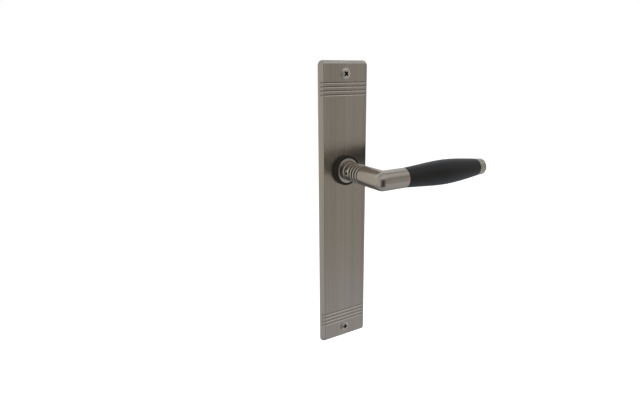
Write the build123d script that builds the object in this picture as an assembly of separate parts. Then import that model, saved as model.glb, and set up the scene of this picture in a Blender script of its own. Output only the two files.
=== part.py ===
from build123d import *
from math import cos, degrees, radians, sin
import os

# Everything is modelled as if the handle lay on its back: x along the lever,
# y up the door, z out from the door face. It is stood up when it is written.
# The origin is on the spindle axis, at the door face. Sizes are millimetres.

over = 1.0  # how far a cutter runs past the face it leaves by
upright = 90.0  # degrees from the x axis to straight up

# Backplate
plate_width = 50.0
plate_above = 95.6  # from the spindle axis to the top edge
plate_below = 167.6  # from the spindle axis to the bottom edge
plate_thick = 5.3
plate_band = 1.4  # upright edge left under the bevel
bevel_inset = 2.6
outer_corner_r = 4.5
front_corner_r = 1.6
edge_round = 0.4

# V grooves across each end of the plate, turned down over the bevels
groove_count = 4
groove_first = 18.5  # from the plate's end to the nearest groove
groove_pitch = 3.45
groove_width = 1.8
groove_depth = 0.7
groove_wrap = 0.6  # how much of the bevel's slope a groove runs down

# Fixing screws, raised countersunk wood screws with a cross recess
screw_inset = 11.2  # from the plate's end to the screw
screw_thread_r = 2.5
screw_shank_r = 2.0
screw_head_r = 4.9
screw_dome = 1.35
screw_length = 31.0  # from the head's rim to the tip
screw_point = 7.0
screw_plain = 7.0  # unthreaded length under the head's rim
screw_hole_gap = 0.25
head_seat_gap = 0.1
recess_arm = 2.8
recess_wide = 1.3
recess_deep = 2.6
recess_flare = 1.5  # how much its cone is wider than an arm at the top

# Hollow back
rim_wall = 3.2
skin = 2.1
rib_wall = 2.0
cell_pitch = 24.0
cell_corner_r = 2.5
cell_columns = 2
zone_wall = 3.5  # solid metal left round the spring chamber and the grooves

# Spring chamber in the plate's back
chamber_wall = 4.0
chamber_skin = 1.6
cover_thick = 1.0
cover_lip = 1.2
cover_reach = 31.0  # from the spindle axis to the cover's upper and lower edge
cover_corner_r = 4.0
cover_gap = 0.15
cover_screw_inset = 4.6
cover_screw_r = 1.25
cover_screw_length = 3.7

# Neck of the lever
neck_r = 8.55
stub_step = 0.45  # the stub in the bush is thicker than the neck by this
flange_lip = 2.0
flange_edge = 0.5  # height of its rim
flange_thick = 1.2
flange_dome_r = 5.0
projection = 59.5  # from the door face to the lever's axis
stub_recess = 0.4  # the stub ends this far short of the door face
spindle_size = 8.0
spindle_gap = 0.1
socket_end = 36.0  # from the door face to the bottom of the square socket
land_rise = 0.35  # how far each rounded land between the grooves swells
cove_half = 0.95  # half the width of the hollow in front of the flange
cove_depth = 0.95
bead_groove_place = 15.3
bead_groove_half = 0.55
bead_groove_depth = 0.75
ring_first = 22.7
ring_pitch = 3.8
ring_count = 4
ring_groove_half = 0.8
ring_groove_depth = 1.0
set_screw_place = 18.95
set_screw_r = 3.0
set_screw_length = 3.4
set_screw_sunk = 0.4
set_screw_edge = 0.4
set_screw_key = 3.0  # across the flats of its hexagon
set_screw_floor = 1.5  # metal left under the hexagon

# Nylon bush
run_gap = 0.05  # radial running clearance of the stub in the bush
bush_wall = 1.75
bush_lip = 2.65
bush_flange = 3.6
bush_round = 0.5
press_gap = 0.04
axial_gap = 0.1

# Washer, driver and circlip on the stub
washer_thick = 0.5
washer_gap = 0.4  # from the washer's rim to the stops
driver_thick = 1.2
driver_share = 0.617  # of the room round the stub that the driver takes
stub_flat = 7.75  # from the axis to the stub's two flats
slip_gap = 0.05
circlip_thick = 0.8
circlip_deep = 0.7
circlip_wide = 1.9
circlip_lug_r = 1.7
circlip_eye_r = 0.7
circlip_open = 25.0  # half the angle between its lugs, in degrees

# Flat spiral spring and the stops
spring_share = 0.615  # of the pitch that the strip takes
spring_turns = 2
spring_gap = 0.4
spring_tab = 2.0
tab_gap = 0.35
driver_gap = 0.8
stop_half_angle = 8.0
stop_gap = 0.3
lever_swing = 45.0

# Arm, grip and end cap
arm_end = 23.0  # from the spindle axis to the end of the metal
arm_round = 0.5
spigot_r = 5.0
spigot_length = 8.0
grip_length = 85.2
grip_start_r = 8.5
grip_belly_r = 11.1
grip_belly_place = 44.0
grip_end_r = 8.05
grip_edge = 0.4
cap_length = 8.0
cap_start_r = 7.9
cap_end_r = 7.4
cap_round = 0.8
cap_spigot_r = 4.0
cap_spigot_length = 5.0
rod_r = 2.5
rod_in_arm = 10.0
rod_in_cap = 5.0
rod_gap = 0.2
fit_gap = 0.05

# Places that follow from the sizes above
plate_height = plate_above + plate_below
plate_middle = (plate_above - plate_below) / 2
bevel_drop = plate_thick - plate_band
ends = {"top": (1, plate_above), "bottom": (-1, plate_below)}
chamber_r = plate_width / 2 - chamber_wall
chamber_floor = plate_thick - chamber_skin
stub_r = neck_r + stub_step
bush_hole_r = stub_r + run_gap + bush_wall
bush_front = plate_thick + bush_flange
flange_r = stub_r + flange_lip
flange_back = bush_front + axial_gap
flange_front = flange_back + flange_thick
washer_front = chamber_floor - axial_gap
driver_front = washer_front - washer_thick
driver_back = driver_front - driver_thick
circlip_back = driver_back - circlip_thick
circlip_inner_r = stub_r - circlip_deep + slip_gap
circlip_eye_place = circlip_inner_r + circlip_wide / 2
circlip_outer_r = circlip_eye_place + circlip_lug_r
plain_start = ring_first + ring_count * ring_pitch
socket_half = spindle_size / 2 + spindle_gap
spring_outer_r = chamber_r - spring_gap
driver_r = stub_r + driver_share * (chamber_r - stub_r)
spring_inner_r = driver_r + driver_gap
spring_pitch = (spring_outer_r - spring_inner_r) / (spring_turns + spring_share)
spring_strip = spring_share * spring_pitch
hub_r = (stub_r + driver_r) / 2
cover_width = 2 * (chamber_r + cover_lip)
cap_place = arm_end + grip_length


def ring_section(points):
    """A body of revolution about z, from its outline's (radius, height) points."""
    return revolve(make_face(Plane.XZ * Polyline(points, close=True)), Axis.Z)


def sector(inner_r, outer_r, start_deg, end_deg):
    """A flat piece of a ring between two angles."""
    steps = 8
    turn = (end_deg - start_deg) / steps
    reach = outer_r / cos(radians(turn))
    rim = [start_deg + i * turn for i in range(steps + 1)]
    fan = [(0, 0)] + [(reach * cos(radians(a)), reach * sin(radians(a))) for a in rim]
    return make_face(Polyline(fan, close=True)) & Circle(outer_r) - Circle(inner_r)


def double_d(radius, flat):
    """A round section with two flats, left and right."""
    return Circle(radius) & Rectangle(2 * flat, 4 * radius)


def plate_blank():
    """The bevelled slab that the plate is finished from."""
    middle = Pos(0, plate_middle, 0)
    outer = middle * RectangleRounded(plate_width, plate_height, outer_corner_r)
    front = middle * RectangleRounded(
        plate_width - 2 * bevel_inset, plate_height - 2 * bevel_inset, front_corner_r
    )
    slope = loft([Pos(0, 0, plate_band) * outer, Pos(0, 0, plate_thick) * front])
    slab = extrude(outer, plate_band) + slope
    slab = fillet(slab.edges().group_by(Axis.Z)[-1], edge_round)
    upright = [edge for edge in slab.edges() if abs(edge.center().Z - plate_band) < edge_round / 10]
    return fillet(upright, edge_round)


def groove_cutter(y):
    """One V groove across the front and part of the way down both bevels."""
    edge_x = plate_width / 2 - bevel_inset
    foot_x = edge_x + groove_wrap * bevel_inset
    foot_z = plate_thick - groove_wrap * bevel_drop
    foot = Vector(-foot_x, y, foot_z)
    edge = Vector(-edge_x, y, plate_thick)
    path = Polyline(foot, edge, (edge_x, y, plate_thick), (foot_x, y, foot_z))
    lift = groove_depth / 2
    half = groove_width / 2 * (groove_depth + lift) / groove_depth
    vee = Polyline((-half, lift), (half, lift), (0, -groove_depth), close=True)
    start = Plane(foot, x_dir=(0, 1, 0), z_dir=edge - foot)
    return sweep(start * make_face(vee), path, transition=Transition.RIGHT)


def groove_places():
    """The y of every groove, at both ends of the plate."""
    rows = range(groove_count)
    return [
        side * (edge - groove_first - i * groove_pitch)
        for side, edge in ends.values()
        for i in rows
    ]


def hollow_zone(start_y, end_y):
    """Rows of rounded cells between two heights, with ribs between the cells."""
    width = (plate_width - 2 * rim_wall - (cell_columns - 1) * rib_wall) / cell_columns
    rows = max(1, round((end_y - start_y) / cell_pitch))
    height = (end_y - start_y - (rows - 1) * rib_wall) / rows
    cell = RectangleRounded(width, height, cell_corner_r)
    depth = plate_thick - skin
    return [
        Pos(
            (i - (cell_columns - 1) / 2) * (width + rib_wall),
            start_y + height / 2 + j * (height + rib_wall),
        )
        * extrude(cell, depth)
        for i in range(cell_columns)
        for j in range(rows)
    ]


def hollow_cells():
    """The cells above and below the spring chamber."""
    near = cover_reach + zone_wall
    groove_band = groove_first + (groove_count - 1) * groove_pitch + zone_wall
    upper = hollow_zone(near, plate_above - groove_band)
    lower = hollow_zone(groove_band - plate_below, -near)
    return upper + lower


def cover_outline(gap=0.0):
    """The chamber cover's outline, grown by a gap for its recess."""
    return RectangleRounded(
        cover_width + 2 * gap, 2 * (cover_reach + gap), cover_corner_r + gap
    )


def cover_screw_places():
    x = cover_width / 2 - cover_screw_inset
    y = cover_reach - cover_screw_inset
    return [Pos(sx * x, sy * y) for sx in (-1, 1) for sy in (-1, 1)]


def countersink(hole_r, mouth_r, mouth_z, seat_gap=0.0):
    """A 90 degree countersink that opens upwards at mouth_z."""
    wide = mouth_r + seat_gap
    depth = wide - hole_r
    return Pos(0, 0, mouth_z) * Cone(hole_r, wide, depth, align=(Align.CENTER, Align.CENTER, Align.MAX))


def stop_blocks():
    """Two cast blocks on the chamber's floor that the driver's wings meet."""
    height = chamber_floor - driver_back + stop_gap
    block = sector(
        hub_r + stop_gap,
        driver_r,
        upright - stop_half_angle,
        upright + stop_half_angle,
    )
    low = Pos(0, 0, chamber_floor - height) * extrude(block, height)
    return [low, Rot(0, 0, 180) * low]


def spring_anchor_slot():
    """The slot in the chamber's wall that holds the spring's outer tab."""
    wide = spring_strip + 2 * tab_gap
    length = chamber_wall / 2
    start = chamber_r - over
    slot = Pos((start + chamber_r + length) / 2, 0) * Rectangle(length + over, wide)
    return Pos(0, 0, cover_thick) * extrude(slot, chamber_floor - cover_thick)


def backplate():
    plate = plate_blank()
    plate -= [groove_cutter(y) for y in groove_places()]
    plate -= hollow_cells()
    plate -= Cylinder(chamber_r, chamber_floor, align=(Align.CENTER, Align.CENTER, Align.MIN))
    plate -= extrude(cover_outline(cover_gap), cover_thick)
    plate -= spring_anchor_slot()
    plate -= extrude(Circle(bush_hole_r), plate_thick)
    plate += stop_blocks()
    hole = extrude(Circle(cover_screw_r + fit_gap), cover_screw_length + fit_gap)
    plate -= [place * hole for place in cover_screw_places()]
    for side, edge in ends.values():
        hole_r = screw_thread_r + screw_hole_gap
        seat = countersink(hole_r, screw_head_r, plate_thick, head_seat_gap)
        cutter = extrude(Circle(hole_r), plate_thick) + seat
        plate -= Pos(0, side * (edge - screw_inset)) * cutter
    return plate


def cross_recess(arm, wide, deep):
    """A cross-shaped driver recess, open at z = 0 and narrowing downwards."""
    cross = Rectangle(2 * arm, wide) + Rectangle(wide, 2 * arm)
    height = recess_flare * deep
    bar = Pos(0, 0, -deep) * extrude(cross, height)
    cone = Pos(0, 0, height / 2 - deep) * Cone(wide / 2, recess_flare * arm, height)
    return bar & cone


def fixing_screw():
    """A raised countersunk wood screw, its head's rim at z = 0, pointing down."""
    head_deep = screw_head_r - screw_shank_r
    profile = Polyline(
        (0, screw_dome),
        (0, -screw_length),
        (screw_thread_r, screw_point - screw_length),
        (screw_thread_r, -screw_plain),
        (screw_shank_r, -screw_plain),
        (screw_shank_r, -head_deep),
        (screw_head_r, 0),
    )
    # Halfway out, a shallow cap still stands at three quarters of its height.
    middle = (screw_head_r / 2, screw_dome * 3 / 4)
    dome = ThreePointArc((screw_head_r, 0), middle, (0, screw_dome))
    body = revolve(make_face(Plane.XZ * (profile + dome)), Axis.Z)
    recess = cross_recess(recess_arm, recess_wide, recess_deep)
    return body - Pos(0, 0, screw_dome) * recess


def placed_fixing_screw(end, turn):
    side, edge = ends[end]
    y = side * (edge - screw_inset)
    return Pos(0, y, plate_thick) * Rot(0, 0, turn) * fixing_screw()


def cover():
    """Pressed steel cover that closes the spring chamber."""
    plate = extrude(cover_outline(), cover_thick)
    plate -= extrude(Circle(circlip_outer_r + driver_gap), cover_thick)
    head_r = cover_screw_r + cover_thick
    sink = Rot(180, 0, 0) * countersink(cover_screw_r + fit_gap, head_r, 0, fit_gap)
    hole = extrude(Circle(cover_screw_r + fit_gap), cover_thick) + sink
    return plate - [place * hole for place in cover_screw_places()]


def cover_screws():
    """Four countersunk screws that hold the cover, heads towards the door."""
    head_r = cover_screw_r + cover_thick
    outline = [
        (0, 0),
        (head_r, 0),
        (cover_screw_r, cover_thick),
        (cover_screw_r, cover_screw_length),
        (0, cover_screw_length),
    ]
    slot = Box(2 * head_r, cover_screw_r / 2, cover_thick)
    screw = ring_section(outline) - slot
    return Compound([place * screw for place in cover_screw_places()])


def neck_bush():
    """Nylon bush with a flange in front, which the lever's stub turns in."""
    barrel_r = bush_hole_r - press_gap
    flange = Pos(0, 0, plate_thick) * extrude(Circle(bush_hole_r + bush_lip), bush_flange)
    flange = fillet(flange.edges().group_by(Axis.Z)[-1], bush_round)
    barrel = Pos(0, 0, chamber_floor) * extrude(Circle(barrel_r), chamber_skin)
    return flange + barrel - extrude(Circle(stub_r + run_gap), bush_front)


def neck_grooves():
    """Place, half width and depth of each groove, from the flange outwards."""
    cove = (flange_front + cove_half, cove_half, cove_depth)
    bead = (bead_groove_place, bead_groove_half, bead_groove_depth)
    rings = [
        (ring_first + i * ring_pitch, ring_groove_half, ring_groove_depth)
        for i in range(ring_count)
    ]
    return [cove, bead] + rings


def turned_neck():
    """The neck's turned part: domed flange, then grooves with rounded lands between."""
    low = neck_r - land_rise
    rim = (flange_r, flange_back + flange_edge)
    last = (low, flange_front)
    outline = [RadiusArc(last, rim, flange_dome_r)]
    for place, half, depth in neck_grooves():
        near, far = (low, place - half), (low, place + half)
        if near[1] > last[1] + fit_gap:
            outline.append(ThreePointArc(last, (neck_r, (last[1] + near[1]) / 2), near))
        outline.append(ThreePointArc(near, (neck_r - depth, place), far))
        last = far
    edge = (neck_r, last[1] + land_rise)
    back = (flange_r, flange_back)
    outline.append(
        Polyline(last, edge, (neck_r, plain_start), (0, plain_start), (0, flange_back), back, rim)
    )
    return revolve(make_face(Plane.XZ * (Curve() + outline)), Axis.Z)


def stub():
    """The stub behind the flange: round in the bush, then flats for the driver."""
    stub_round = Pos(0, 0, driver_front) * extrude(Circle(stub_r), flange_back - driver_front)
    flats = extrude(double_d(stub_r, stub_flat), driver_front - stub_recess)
    groove = Circle(stub_r + over) - Circle(stub_r - circlip_deep)
    cut = Pos(0, 0, circlip_back) * extrude(groove, circlip_thick)
    return stub_round + (Pos(0, 0, stub_recess) * flats - cut)


def lever_handle():
    """Neck, tight round elbow and arm, in one piece, with the socket for the spindle."""
    body = turned_neck()
    body += Pos(0, 0, plain_start) * extrude(Circle(neck_r), projection - plain_start)
    body += Pos(0, 0, projection) * Sphere(neck_r)
    arm = extrude(Circle(neck_r), arm_end)
    arm = fillet(arm.edges().group_by(Axis.Z)[-1], arm_round)
    body += Plane((0, 0, projection), z_dir=(1, 0, 0)) * arm
    body += stub()
    along_x = Plane((arm_end, 0, projection), z_dir=(1, 0, 0))
    body += along_x * extrude(Circle(spigot_r), spigot_length)
    body -= extrude(Rectangle(2 * socket_half, 2 * socket_half), socket_end)
    side_hole = extrude(Circle(set_screw_r + fit_gap), 2 * neck_r)
    body -= Pos(0, 0, set_screw_place) * Rot(0, -90, 0) * side_hole
    rod_hole = extrude(Circle(rod_r + fit_gap), rod_in_arm + spigot_length + 2 * fit_gap)
    start = Plane((arm_end - rod_in_arm - fit_gap, 0, projection), z_dir=(1, 0, 0))
    return body - start * rod_hole


def set_screw():
    """Grub screw in the neck that grips the spindle."""
    screw = extrude(Circle(set_screw_r), set_screw_length)
    screw = chamfer(screw.edges().group_by(Axis.Z)[-1], set_screw_edge)
    key = extrude(RegularPolygon(set_screw_key / 2, 6, major_radius=False), set_screw_length)
    screw -= Pos(0, 0, set_screw_floor) * key
    start = neck_r - set_screw_sunk - set_screw_length
    return Pos(-start, 0, set_screw_place) * Rot(0, -90, 0) * screw


def thrust_washer():
    ring = Circle(hub_r - washer_gap) - Circle(stub_r + slip_gap)
    return Pos(0, 0, driver_front) * extrude(ring, washer_thick)


def driver_disc():
    """Disc keyed on the stub: two rim notches take the stops, a slot the spring."""
    disc = Circle(driver_r) - double_d(stub_r + slip_gap, stub_flat + slip_gap)
    clearance = degrees(stop_gap / hub_r)
    first = upright - stop_half_angle - clearance
    last = upright + stop_half_angle + lever_swing + clearance
    notch = sector(hub_r, driver_r + over, first, last)
    slot_wide = spring_strip + 2 * tab_gap
    slot_long = spring_tab + tab_gap
    slot = Pos(driver_r - slot_long / 2 + driver_gap / 2, 0) * Rectangle(slot_long, slot_wide)
    disc = disc - notch - Rot(0, 0, 180) * notch - slot
    return Pos(0, 0, driver_back) * extrude(disc, driver_thick)


def circlip():
    """Retaining ring in the stub's groove, with two eyes for the pliers."""
    ring = Circle(circlip_inner_r + circlip_wide) - Circle(circlip_inner_r)
    ends_at = (upright - circlip_open, upright + circlip_open)
    ring -= sector(circlip_inner_r / 2, circlip_outer_r, *ends_at)
    eyes = [Rot(0, 0, angle) * Pos(circlip_eye_place, 0) for angle in ends_at]
    ring += [eye * Circle(circlip_lug_r) for eye in eyes]
    ring -= [eye * Circle(circlip_eye_r) for eye in eyes]
    ring -= Circle(circlip_inner_r)
    return Pos(0, 0, circlip_back) * extrude(ring, circlip_thick)


def spiral_edge(offset):
    """One edge of the spring's strip: half circles, each wider than the last."""
    arcs = []
    for i in range(2 * spring_turns):
        side = 1 if i % 2 == 0 else -1
        start = side * (spring_inner_r + offset + spring_pitch * i / 2)
        end = -start - side * spring_pitch / 2
        middle = ((start + end) / 2, side * abs(start - end) / 2)
        arcs.append(ThreePointArc((start, 0), middle, (end, 0)))
    return Curve() + arcs


def return_spring():
    """Flat spiral spring, its tabs in the driver's slot and the chamber's wall."""
    inner = spiral_edge(0)
    outer = spiral_edge(spring_strip)
    last = spring_outer_r - spring_strip
    tips = [
        Line((spring_inner_r, 0), (spring_inner_r + spring_strip, 0)),
        Line((last, 0), (spring_outer_r, 0)),
    ]
    strip = make_face(inner + outer + tips)
    inward = spring_tab + spring_strip / 2
    strip += Pos(spring_inner_r + spring_strip / 2 - inward / 2, 0) * Rectangle(inward, spring_strip)
    outward = spring_gap + chamber_wall / 2 - tab_gap + spring_strip / 2
    strip += Pos(spring_outer_r - spring_strip / 2 + outward / 2, 0) * Rectangle(outward, spring_strip)
    height = chamber_floor - cover_thick - 2 * tab_gap
    return Pos(0, 0, cover_thick + tab_gap) * extrude(strip, height)


def grip():
    """Barrel-shaped black sleeve between the arm and the cap."""
    belly = grip_belly_place
    tail = grip_length - belly
    swell = grip_belly_r - grip_start_r
    taper = grip_belly_r - grip_end_r
    crest = Spline(
        (grip_edge, grip_start_r),
        (0.36 * belly, grip_start_r + 0.4 * swell),
        (belly, grip_belly_r),
        (belly + 0.7 * tail, grip_end_r + 0.43 * taper),
        (grip_length - grip_edge, grip_end_r),
    )
    base = Polyline(
        (grip_edge, grip_start_r),
        (0, grip_start_r - grip_edge),
        (0, 0),
        (grip_length, 0),
        (grip_length, grip_end_r - grip_edge),
        (grip_length - grip_edge, grip_end_r),
    )
    body = revolve(make_face(crest + base), Axis.X)
    bore = Rot(0, 90, 0) * extrude(Circle(rod_r + rod_gap), grip_length)
    arm_socket = Rot(0, 90, 0) * extrude(Circle(spigot_r + fit_gap), spigot_length + fit_gap)
    cap_socket = Rot(0, 90, 0) * extrude(
        Circle(cap_spigot_r + fit_gap), cap_spigot_length + fit_gap
    )
    body -= bore
    body -= arm_socket
    body -= Pos(grip_length - cap_spigot_length - fit_gap, 0, 0) * cap_socket
    return Pos(arm_end, 0, projection) * body


def end_cap():
    """Metal cap on the end of the grip, with a spigot inside the grip."""
    profile = [
        (-cap_spigot_length, 0),
        (-cap_spigot_length, cap_spigot_r),
        (0, cap_spigot_r),
        (0, cap_start_r),
        (cap_length, cap_end_r),
        (cap_length, 0),
    ]
    body = revolve(make_face(Polyline(profile, close=True)), Axis.X)
    body = fillet(body.edges().group_by(Axis.X)[-1], cap_round)
    depth = cap_spigot_length + rod_in_cap + fit_gap
    hole = Pos(-cap_spigot_length, 0, 0) * Rot(0, 90, 0) * extrude(Circle(rod_r + fit_gap), depth)
    return Pos(cap_place, 0, projection) * (body - hole)


def tie_rod():
    """Threaded rod from the arm through the grip into the cap."""
    length = rod_in_arm + grip_length + rod_in_cap
    rod = Rot(0, 90, 0) * extrude(Circle(rod_r), length)
    rod = chamfer(rod.edges().filter_by(GeomType.CIRCLE), rod_r / 4)
    return Pos(arm_end - rod_in_arm, 0, projection) * rod


nodes = {
    "backplate": backplate(),
    "fixing_screw_top": placed_fixing_screw("top", 45),
    "fixing_screw_bottom": placed_fixing_screw("bottom", 0),
    "neck_bush": neck_bush(),
    "return_spring": return_spring(),
    "spring_cover": cover(),
    "cover_screws": cover_screws(),
    "lever_handle": lever_handle(),
    "set_screw": set_screw(),
    "thrust_washer": thrust_washer(),
    "driver_disc": driver_disc(),
    "circlip": circlip(),
    "grip": grip(),
    "end_cap": end_cap(),
    "tie_rod": tie_rod(),
}

os.makedirs("parts", exist_ok=True)
for name, shape in nodes.items():
    export_step(Rot(90, 0, 0) * shape, f"parts/{name}.step")
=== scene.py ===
from math import cos, pi, radians, sin

import bpy
from mathutils import Matrix, Vector


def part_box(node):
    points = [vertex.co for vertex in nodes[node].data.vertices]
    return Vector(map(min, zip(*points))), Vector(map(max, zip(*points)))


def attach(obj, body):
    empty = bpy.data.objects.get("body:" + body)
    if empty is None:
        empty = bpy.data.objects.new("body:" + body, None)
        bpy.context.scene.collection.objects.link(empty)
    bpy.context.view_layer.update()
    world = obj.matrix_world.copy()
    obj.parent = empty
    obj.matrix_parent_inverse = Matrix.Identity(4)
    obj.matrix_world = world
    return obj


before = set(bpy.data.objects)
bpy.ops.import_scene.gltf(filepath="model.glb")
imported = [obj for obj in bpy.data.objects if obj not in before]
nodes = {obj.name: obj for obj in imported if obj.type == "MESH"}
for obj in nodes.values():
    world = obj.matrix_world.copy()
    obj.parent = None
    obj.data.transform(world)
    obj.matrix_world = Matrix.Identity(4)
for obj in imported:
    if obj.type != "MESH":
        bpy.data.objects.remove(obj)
bpy.context.view_layer.update()


class Signal:
    """A socket of a finish's node tree. Sums on it add Math nodes."""

    def __init__(self, finish, socket):
        self.finish = finish
        self.socket = socket

    def _math(self, operation, a, b):
        return self.finish.node("ShaderNodeMath", {"operation": operation}, {0: a, 1: b})

    def __add__(self, other):
        return self._math("ADD", self, other)

    def __radd__(self, other):
        return self._math("ADD", other, self)

    def __sub__(self, other):
        return self._math("SUBTRACT", self, other)

    def __rsub__(self, other):
        return self._math("SUBTRACT", other, self)

    def __mul__(self, other):
        return self._math("MULTIPLY", self, other)

    def __rmul__(self, other):
        return self._math("MULTIPLY", other, self)


class Finish:
    """A material's node tree, built with expressions."""

    def __init__(self, name, owner=None):
        self.owner = owner or bpy.data.materials.new(name)
        self.owner.use_nodes = True
        self.tree = self.owner.node_tree
        self.tree.nodes.clear()

    def node(self, kind, settings=None, inputs=None, output=0):
        """Adds any node: its settings first, then the values or links of its sockets."""
        made = self.tree.nodes.new(kind)
        for key, value in (settings or {}).items():
            setattr(made, key, value)
        for key, value in (inputs or {}).items():
            if isinstance(value, Signal):
                self.tree.links.new(value.socket, made.inputs[key])
            else:
                made.inputs[key].default_value = value
        return Signal(self, made.outputs[output]) if made.outputs else None

    def place(self, stretch=(1, 1, 1)):
        """The point on the piece, in metres, stretched along the axes."""
        point = self.node("ShaderNodeTexCoord", output="Object")
        settings = {"operation": "MULTIPLY"}
        return self.node("ShaderNodeVectorMath", settings, {0: point, 1: stretch})

    def noise(self, stretch, scale, detail):
        """Noise from 0 to 1, scale grains to the metre, stretched along the axes."""
        inputs = {"Vector": self.place(stretch), "Scale": scale, "Detail": detail}
        return self.node("ShaderNodeTexNoise", {}, inputs)

    def tones(self, value, dark, light):
        """A colour between two tones."""
        settings = {"data_type": "RGBA"}
        inputs = {0: value, 6: (*dark, 1), 7: (*light, 1)}
        return self.node("ShaderNodeMix", settings, inputs, output=2)

    def mixed(self, value, first, second):
        """A colour between two colours that vary themselves."""
        inputs = {0: value, 6: first, 7: second}
        return self.node("ShaderNodeMix", {"data_type": "RGBA"}, inputs, output=2)

    def bump(self, height, distance, strength):
        """The normal over a relief whose full height is a distance in metres."""
        inputs = {"Height": height, "Distance": distance, "Strength": strength}
        return self.node("ShaderNodeBump", {}, inputs, output="Normal")

    def seen_by(self):
        """1 for rays from the camera, from a mirror and through glass."""
        kinds = ("Is Camera Ray", "Is Glossy Ray", "Is Transmission Ray")
        return [self.node("ShaderNodeLightPath", output=kind) for kind in kinds]

    def along(self, vector, axis):
        """How far a vector reaches along an axis."""
        settings = {"operation": "DOT_PRODUCT"}
        return self.node("ShaderNodeVectorMath", settings, {0: vector, 1: axis}, output="Value")

    def smooth(self, value, low, high):
        """0 below low, 1 above high, with a soft step between."""
        settings = {"interpolation_type": "SMOOTHSTEP"}
        inputs = {"Value": value, "From Min": low, "From Max": high}
        return self.node("ShaderNodeMapRange", settings, inputs)

    def between(self, value, low, high):
        """1 from low to high, with soft edges as wide as each pair."""
        return self.smooth(value, *low) * (1 - self.smooth(value, *high))

    def distance(self, counted, centre=(0, 0, 0)):
        """How far a point is from a centre, along the axes that are counted with 1."""
        settings = {"operation": "DISTANCE"}
        inputs = {0: self.place(counted), 1: centre}
        return self.node("ShaderNodeVectorMath", settings, inputs, output="Value")

    def facing(self, axis):
        """How squarely the true surface faces along an axis of the piece, from -1 to 1."""
        normal = self.node("ShaderNodeNewGeometry", output="True Normal")
        settings = {"vector_type": "NORMAL", "convert_from": "WORLD", "convert_to": "OBJECT"}
        own = self.node("ShaderNodeVectorTransform", settings, {"Vector": normal})
        return self.along(own, axis)

    def surface(self, constants, **varying):
        """The main shader: plain numbers on its own sockets, links for what varies."""
        inputs = dict(constants)
        inputs.update({key.replace("_", " "): value for key, value in varying.items()})
        shader = self.node("ShaderNodeBsdfPrincipled", {}, inputs)
        self.node("ShaderNodeOutputMaterial", {}, {"Surface": shader})
        return self.owner


# Directions from the piece, then the axes along which a distance counts
left = (-1, 0, 0)
up = (0, 0, 1)
down = (0, 0, -1)
inward = (0, 1, 0)  # into the door
outward = (0, -1, 0)
across_plate = (1, 0, 0)
over_door = (1, 0, 1)

# How the grain lies: a small number draws it out along that axis
even = (1, 1, 1)
wide_brushing = (1, 1, 0.02)
brushing = (1, 1, 0.01)
fine_brushing = (1, 1, 0.012)
round_lever = (1, 0.1, 0.1)
round_grip = (1, 0.05, 0.05)

# The full height of each finish's relief, in metres
brushing_relief = 0.00002
turning_relief = 0.00001
plating_relief = 0.00001
moulding_relief = 0.00002

# Tones of the metals
nickel_dark = (0.385, 0.338, 0.276)
nickel_light = (0.465, 0.407, 0.337)
# Painted tones: highlight and shade on the plate's groove sides, shade on its front's side edges
# and in the set screw's hexagon
painted_shade_tone = (0.36, 0.32, 0.26)
painted_highlight_tone = (0.70, 0.63, 0.53)
painted_rim_shade = (0.17, 0.15, 0.12)
cast_dark = (0.20, 0.20, 0.20)
cast_light = (0.34, 0.34, 0.33)
screw_dark = (0.55, 0.495, 0.42)
screw_light = (0.66, 0.60, 0.515)
steel_dark = (0.72, 0.68, 0.62)
steel_light = (0.84, 0.80, 0.74)
# Dark tones for hollows: painted shade in the screw heads' recesses, and the nearly black floors
# of the neck's grooves
hollow_dark = (0.045, 0.037, 0.027)
hollow_black = (0.006, 0.006, 0.006)

# Tones of the black pieces
grip_dark = (0.0065, 0.0062, 0.006)
grip_light = (0.0105, 0.010, 0.0097)
nylon_dark = (0.012, 0.0095, 0.0075)
nylon_light = (0.020, 0.016, 0.013)

# Where on a piece its finish changes. Each pair is where a soft step begins and ends.
brush_contrast = (0.30, 0.70)  # which part of the brushing's noise shows
steel_contrast = (0.35, 0.65)
groove_flank = ((0.70, 0.76), (0.82, 0.88))  # how squarely a groove's side looks forward
groove_wrap = ((0.38, 0.41), (0.47, 0.50))  # the same where it runs down the bevel
groove_upper = (-0.3, 0.3)  # how far a side looks up to take the painted highlight
wrap_lower = (0.4, 0.55)  # how far a side on the bevel looks down to take the painted light
groove_edge = (0.0048, 0.0052)  # where a groove's side comes up to the edge that takes the painted highlight
front_half = (0.0212, 0.0222)  # how far from its middle line the plate's front reaches
plate_back = (0.2, 0.6)  # how squarely the cast back looks at the door
neck_skin = (0.0077, 0.0082)  # how far from its axis the nearly black groove floors end
neck_end = (0.038, 0.041)  # how far out from the door the ringed part goes
recess_walls = (0.70, 0.88)  # how squarely a face has to look forward to stay out of the painted shade
socket_walls = (0.15, 0.45)  # the same in the set screw's hexagon
socket_dark = (0.0070, 0.0076)  # how far out from the neck's axis its hexagon keeps the painted shade at its bottom
head_front = (0.0032, 0.0036)  # how far in front of the door the screw heads' recesses lie
recess_mouth = (0.0045, 0.0051)  # where a recess is deep enough to take the painted shade
recess_middle = (0.0009, 0.0019)  # how far from the screw's axis the painted shade in it reaches

screw_names = ("fixing_screw_top", "fixing_screw_bottom")


def screw_axis(name):
    """The x and z of a fixing screw's axis."""
    low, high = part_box(name)
    return (low[0] + high[0]) / 2, (low[2] + high[2]) / 2


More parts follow.
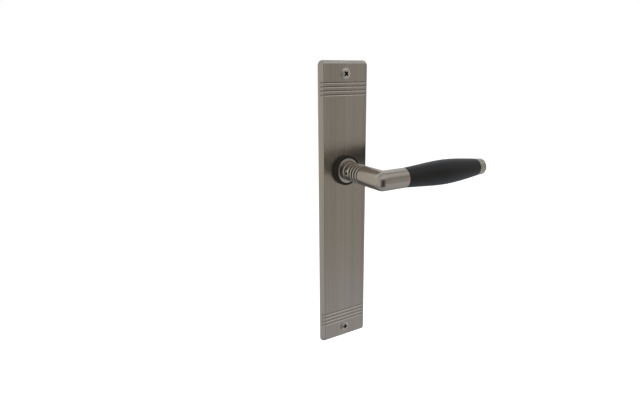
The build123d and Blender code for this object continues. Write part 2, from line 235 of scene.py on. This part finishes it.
def brushed_nickel_plate():
    """Satin nickel brushed up and down the plate, dull behind, with painted highlights and shade
    in its grooves, painted shade on its front's side edges and painted light where the grooves
    run down the bevels.
    """
    f = Finish("brushed_nickel_plate")
    bands = f.noise(wide_brushing, 90, 2)
    streaks = f.noise(brushing, 450, 2)
    lines = f.noise(fine_brushing, 2600, 3)
    sand = f.noise(even, 900, 3)
    shade = f.smooth(0.45 * bands + 0.37 * streaks + 0.18 * lines, *brush_contrast)
    forward = f.facing(outward)
    behind = f.smooth(f.facing(inward), *plate_back)
    turned = f.between(forward, *groove_flank)
    flank = turned * (1 - f.smooth(f.distance(across_plate), *front_half))
    rim = turned - flank
    # Painted light on the groove sides that look down where the grooves run down the bevel
    painted_wrap_light = f.between(forward, *groove_wrap) * f.smooth(f.facing(down), *wrap_lower)
    edge = f.smooth(f.along(f.place(), outward), *groove_edge)
    # Painted highlight on the groove sides that look up, near their edge, and painted shade on
    # the rest
    painted_lit = f.smooth(f.facing(up), *groove_upper) * edge
    brushed = f.tones(shade, nickel_dark, nickel_light)
    front = f.mixed(flank, brushed, f.tones(painted_lit, painted_shade_tone, painted_highlight_tone))
    # Painted shade: a dark line down the rounded side edges of the front
    front = f.mixed(rim, front, f.tones(shade, painted_rim_shade, painted_shade_tone))
    front = f.mixed(painted_wrap_light, front, f.tones(shade, nickel_light, painted_highlight_tone))
    return f.surface(
        {"Metallic": 1.0, "Anisotropic": 0.85},
        Base_Color=f.mixed(behind, front, f.tones(sand, cast_dark, cast_light)),
        Roughness=0.23 + 0.10 * lines + behind * (0.20 + 0.15 * sand),
        Normal=f.bump(lines + behind * sand, brushing_relief, 0.22),
    )


def satin_nickel_lever():
    """Satin nickel polished round the arm, nearly black down in the neck's grooves."""
    f = Finish("satin_nickel_lever")
    lines = f.noise(round_lever, 2400, 3)
    cloud = f.noise(even, 60, 2)
    skin = f.smooth(f.distance(over_door), *neck_skin)
    beyond = f.smooth(f.along(f.place(), outward), *neck_end)
    outside_grooves = skin + beyond - skin * beyond
    metal = f.tones(0.2 * lines + 0.8 * cloud, nickel_dark, nickel_light)
    return f.surface(
        {"Metallic": 1.0},
        Base_Color=f.mixed(outside_grooves, f.tones(cloud, hollow_black, hollow_dark), metal),
        Roughness=0.23 + 0.06 * lines + 0.15 * (1 - outside_grooves),
        Normal=f.bump(lines, turning_relief, 0.3),
    )


def satin_nickel_cap():
    """Satin nickel with fine turning lines round the cap."""
    f = Finish("satin_nickel_cap")
    turning = f.noise(round_grip, 2400, 3)
    cloud = f.noise(even, 60, 2)
    return f.surface(
        {"Metallic": 1.0},
        Base_Color=f.tones(0.5 * turning + 0.5 * cloud, nickel_dark, nickel_light),
        Roughness=0.24 + 0.12 * turning,
        Normal=f.bump(turning, turning_relief, 0.5),
    )


def black_grip():
    """Satin black of the grip, with faint turning marks."""
    f = Finish("black_grip")
    turning = f.noise(round_grip, 3000, 2)
    cloud = f.noise(even, 90, 3)
    return f.surface(
        {"Specular IOR Level": 0.3, "Specular Tint": (1.0, 0.96, 0.91, 1)},
        Base_Color=f.tones(cloud, grip_dark, grip_light),
        Roughness=0.36 + 0.12 * cloud,
        Normal=f.bump(turning, turning_relief, 0.4),
    )


def black_nylon():
    """Matt black of the bush, with the grain of its mould."""
    f = Finish("black_nylon")
    grain = f.noise(even, 1800, 3)
    return f.surface(
        {"Specular IOR Level": 0.3},
        Base_Color=f.tones(grain, nylon_dark, nylon_light),
        Roughness=0.5 + 0.2 * grain,
        Normal=f.bump(grain, moulding_relief, 0.5),
    )


def screw_nickel():
    """Plated screw heads, with painted shade down in the driver's recess and round its middle.
    """
    f = Finish("screw_nickel")
    grain = f.noise(even, 700, 4)
    cloud = f.noise(even, 80, 2)
    out = f.along(f.place(), outward)
    clear = f.smooth(f.facing(outward), *recess_walls) * f.smooth(out, *recess_mouth)
    for name in screw_names:
        x, z = screw_axis(name)
        clear = clear * f.smooth(f.distance(over_door, (x, 0, z)), *recess_middle)
    # Painted shade down in the driver's recess and round its middle
    painted_recess_shade = f.smooth(out, *head_front) * (1 - clear)
    metal = f.tones(0.5 * grain + 0.5 * cloud, screw_dark, screw_light)
    return f.surface(
        {"Metallic": 1.0},
        Base_Color=f.mixed(painted_recess_shade, metal, f.tones(grain, hollow_black, hollow_dark)),
        Roughness=0.36 + 0.12 * cloud,
        Normal=f.bump(grain, plating_relief, 0.5),
    )


def set_screw_steel():
    """Bright end of the set screw, with painted shade on its hexagon's sides and at its bottom.
    """
    f = Finish("set_screw_steel")
    grain = f.noise(even, 900, 3)
    wall = 1 - f.smooth(f.facing(left), *socket_walls)
    deep = 1 - f.smooth(f.along(f.place(), left), *socket_dark)
    metal = f.tones(grain, steel_dark, steel_light)
    # Painted shade on the hexagon's sides (side) and at its bottom
    side = f.tones(grain, nickel_dark, nickel_light)
    painted_bottom_shade = f.tones(grain, painted_shade_tone, nickel_dark)
    return f.surface(
        {"Metallic": 1.0},
        Base_Color=f.mixed(deep, f.mixed(wall, metal, side), painted_bottom_shade),
        Roughness=0.3 + 0.15 * grain,
        Normal=f.bump(grain, plating_relief, 0.5),
    )


def plain_steel(name, dark, light, rough):
    """Steel of the pieces behind the plate, clouded between two tones."""
    f = Finish(name)
    grain = f.noise(even, 700, 4)
    cloud = f.noise(even, 80, 2)
    shade = f.smooth(0.5 * grain + 0.5 * cloud, *steel_contrast)
    return f.surface(
        {"Metallic": 1.0},
        Base_Color=f.tones(shade, dark, light),
        Roughness=rough + 0.15 * cloud,
        Normal=f.bump(grain, plating_relief, 0.5),
    )


def dress(names, material):
    """Gives each named piece a finish in place of the frame's plain one."""
    for name in names:
        slots = nodes[name].data.materials
        slots.clear()
        slots.append(material)


plated_screw = screw_nickel()
zinc_steel = plain_steel("zinc_steel", (0.34, 0.34, 0.335), (0.50, 0.50, 0.49), 0.28)
bright_steel = plain_steel("bright_steel", (0.56, 0.56, 0.56), (0.70, 0.70, 0.69), 0.26)
spring_steel = plain_steel("spring_steel", (0.06, 0.06, 0.065), (0.11, 0.11, 0.115), 0.32)
dress(["backplate"], brushed_nickel_plate())
dress(["lever_handle"], satin_nickel_lever())
dress(["end_cap"], satin_nickel_cap())
dress(["grip"], black_grip())
dress(["neck_bush"], black_nylon())
dress(["set_screw"], set_screw_steel())
dress(screw_names, plated_screw)
dress(["cover_screws"], bright_steel)
dress(["spring_cover", "thrust_washer", "driver_disc", "tie_rod"], zinc_steel)
dress(["return_spring", "circlip"], spring_steel)


# The thread on the fixing screws, which the solids leave plain
thread_start = 0.0024  # how far behind the door face it begins
thread_pitch = 0.0018
thread_height = 0.0005
thread_base = 0.00045  # half the width of its foot
thread_foot = 0.00245  # how far its foot is from the screw's axis
screw_point = 0.007  # how long the screw's point is
thread_steps = 28  # round one turn
thread_tip = 0.4  # how much of the ridge's height is left at the point


def thread_ring(length, axis, i):
    """The ridge's foot, crest and other foot at one step of the winding."""
    along = i / thread_steps * thread_pitch
    full = min(1.0, (length - along) / screw_point)
    grown = min(1.0, i / thread_steps, 2 * (length - along) / thread_pitch)
    foot = thread_foot * full
    crest = foot + thread_height * grown * (thread_tip + (1 - thread_tip) * full)
    turn = 2 * pi * i / thread_steps
    corners = ((foot, -thread_base), (crest, 0), (foot, thread_base))
    return [
        (axis[0] + r * cos(turn), thread_start + along + side, axis[1] + r * sin(turn))
        for r, side in corners
    ]


def screw_thread(node):
    """Winds a sharp ridge round a fixing screw's shank and out along its point."""
    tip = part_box(node)[1].y
    length = tip - thread_start - thread_pitch / 2
    axis = screw_axis(node)
    steps = int(length / thread_pitch * thread_steps)
    rings = [thread_ring(length, axis, i) for i in range(steps)]
    points = [point for ring in rings for point in ring]
    faces = []
    for i in range(steps - 1):
        a, b = 3 * i, 3 * i + 3
        faces += [(a, a + 1, b + 1, b), (a + 1, a + 2, b + 2, b + 1), (a + 2, a, b, b + 2)]
    mesh = bpy.data.meshes.new(node + "_thread")
    mesh.from_pydata(points, [], faces)
    mesh.materials.append(plated_screw)
    thread = bpy.data.objects.new(node + "_thread", mesh)
    bpy.context.scene.collection.objects.link(thread)
    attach(thread, "plate")


for name in screw_names:
    screw_thread(name)


# The photograph's camera: where it stands, where it looks, and its lens
photo_width = 640
photo_height = 400
camera_place = Vector((-0.2450, -0.3708, 0.0895))
camera_azimuth = radians(-32.76)
camera_elevation = radians(14.72)
focal_px = 495.85
principal_px = Vector((336.2, 197.8))
sensor_width = 36.0

# The room's brightness. From side_light on it is only what metal mirrors.
fill_light = 0.6
floor_glow = 0.5

side_light = 0.69
left_light = 0.06
back_light = 0.2
top_light = 0.1
gap_dimming = 0.25
front_dimming = 0.225
hood_dimming = 0.15
low_dimming = 0.08
under_dimming = 0.2
lens_dimming = 0.85
side_air = (1, 1, 1)
cool_air = (0.94, 1.0, 1.10)

# Where in the room each of them lies, as parts of a direction one unit long. Each pair is
# where a soft step begins and ends, and two pairs are its lower and its upper edge.
overhead = (0.3, 0.6)
underfoot = (0.4, 0.7)
far_left = (0.4, 0.8)
front_ahead = (0.1, 0.7)
front_heights = ((-0.54, -0.30), (0.3, 0.68))
hood_ahead = (0.1, 0.6)
hood_heights = ((0.15, 0.35), (0.5, 0.7))
gap_ahead = ((-0.2, -0.08), (0.04, 0.16))
top_ahead = (0.12, 0.3)
back_behind = (0.15, 0.4)
under_behind = (0, 0.2)
cool_overhead = (0.3, 0.7)
cool_underfoot = (0.3, 0.45)
lens_way = (-0.454, -0.891, 0)  # level direction of what stands dark in front
lens_side = (0.891, -0.454, 0)  # square to it
lens_ahead = (0.35, 0.6)
lens_sides = ((-0.42, -0.30), (0.30, 0.42))
lens_top = (0.3, 0.5)

floor_level = -0.26
floor_half = 3.0
floor_tone = (0.93, 0.93, 0.93, 1)


def photo_camera():
    data = bpy.data.cameras.new("photo_camera")
    data.sensor_width = sensor_width
    data.lens = focal_px / photo_width * sensor_width
    data.shift_x = (photo_width / 2 - principal_px.x) / photo_width
    data.shift_y = (principal_px.y - photo_height / 2) / photo_width
    data.clip_start = 0.01
    camera = bpy.data.objects.new("photo_camera", data)
    bpy.context.scene.collection.objects.link(camera)
    a, e = camera_azimuth, camera_elevation
    back = Vector((sin(a) * cos(e), -cos(a) * cos(e), sin(e)))
    right = Vector((cos(a), sin(a), 0))
    turn = Matrix((right, back.cross(right), back)).transposed()
    camera.matrix_world = Matrix.Translation(camera_place) @ turn.to_4x4()
    bpy.context.scene.camera = camera


def studio_light(f):
    """How bright each ray finds the room: white where it is seen, dimmer in front."""
    camera, glossy, through = f.seen_by()
    way = f.node("ShaderNodeTexCoord", output="Generated")
    height = f.along(way, up)
    depth = f.along(way, down)
    ahead = f.along(way, outward)
    behind = f.along(way, inward)

    front = f.smooth(ahead, *front_ahead) * f.between(height, *front_heights)
    hood = f.smooth(ahead, *hood_ahead) * f.between(height, *hood_heights)
    gap = f.between(ahead, *gap_ahead)
    above = back_light * f.smooth(behind, *back_behind) + top_light * f.smooth(ahead, *top_ahead)
    below = low_dimming + under_dimming * f.smooth(behind, *under_behind)
    slab = f.between(f.along(way, lens_side), *lens_sides)
    lens = slab * f.smooth(f.along(way, lens_way), *lens_ahead)
    lens = lens * (1 - f.smooth(height, *lens_top))

    mirrored = side_light + f.smooth(height, *overhead) * (above - gap_dimming * gap)
    mirrored = mirrored - front_dimming * front - hood_dimming * hood
    mirrored = mirrored - f.smooth(depth, *underfoot) * below
    mirrored = mirrored + left_light * f.smooth(f.along(way, left), *far_left)
    mirrored = mirrored * (1 - lens_dimming * lens)
    seen = camera + through
    return seen + (1 - seen) * (glossy * mirrored + (1 - glossy) * fill_light)


def studio_air(f):
    """Cooler light from above and below than from the sides, only in what metal mirrors."""
    way = f.node("ShaderNodeTexCoord", output="Generated")
    _, glossy, _ = f.seen_by()
    high = f.smooth(f.along(way, up), *cool_overhead)
    low = f.smooth(f.along(way, down), *cool_underfoot)
    return f.tones(glossy * (high + low), side_air, cool_air)


def white_world():
    world = bpy.data.worlds.new("studio")
    bpy.context.scene.world = world
    f = Finish("studio", world)
    inputs = {"Color": studio_air(f), "Strength": studio_light(f)}
    glow = f.node("ShaderNodeBackground", {}, inputs)
    f.node("ShaderNodeOutputWorld", {}, {"Surface": glow})


def floor():
    """A pale floor below the plate: white to the camera, but for the soft shadow it keeps.

    Metal doesn't mirror it: what metal mirrors below is the room's own tone.
    """
    mesh = bpy.data.meshes.new("floor")
    sides = ((-1, -1), (1, -1), (1, 1), (-1, 1))
    corners = [(x * floor_half, y * floor_half, floor_level) for x, y in sides]
    mesh.from_pydata(corners, [], [(0, 1, 2, 3)])
    thing = bpy.data.objects.new("floor", mesh)
    thing.visible_glossy = False
    bpy.context.scene.collection.objects.link(thing)
    f = Finish("pale_floor")
    camera, _, through = f.seen_by()
    plain = {
        "Base Color": floor_tone,
        "Roughness": 0.9,
        "Specular IOR Level": 0.0,
        "Emission Strength": 1.0,
    }
    f.surface(plain, Emission_Color=f.tones(camera + through, (0, 0, 0), (floor_glow,) * 3))
    mesh.materials.append(f.owner)


def softbox(name, place, size, power):
    """A soft lamp that looks at the spindle, in metres and watts; metal doesn't mirror it."""
    data = bpy.data.lights.new(name, "AREA")
    data.shape = "RECTANGLE"
    data.size, data.size_y = size
    data.energy = power
    lamp = bpy.data.objects.new(name, data)
    lamp.location = place
    lamp.visible_glossy = False
    lamp.rotation_euler = (-Vector(place)).to_track_quat("-Z", "Y").to_euler()
    bpy.context.scene.collection.objects.link(lamp)


photo_camera()
white_world()
floor()
softbox("top_box", place=(-0.1, -0.3, 1.3), size=(1.2, 1.2), power=6)
softbox("left_box", place=(-1.4, -0.5, 0.5), size=(0.9, 1.2), power=5)
softbox("front_box", place=(0.5, -1.6, 0.8), size=(1.2, 0.9), power=4)

bpy.context.scene.view_settings.view_transform = "Standard"

bpy.context.view_layer.update()
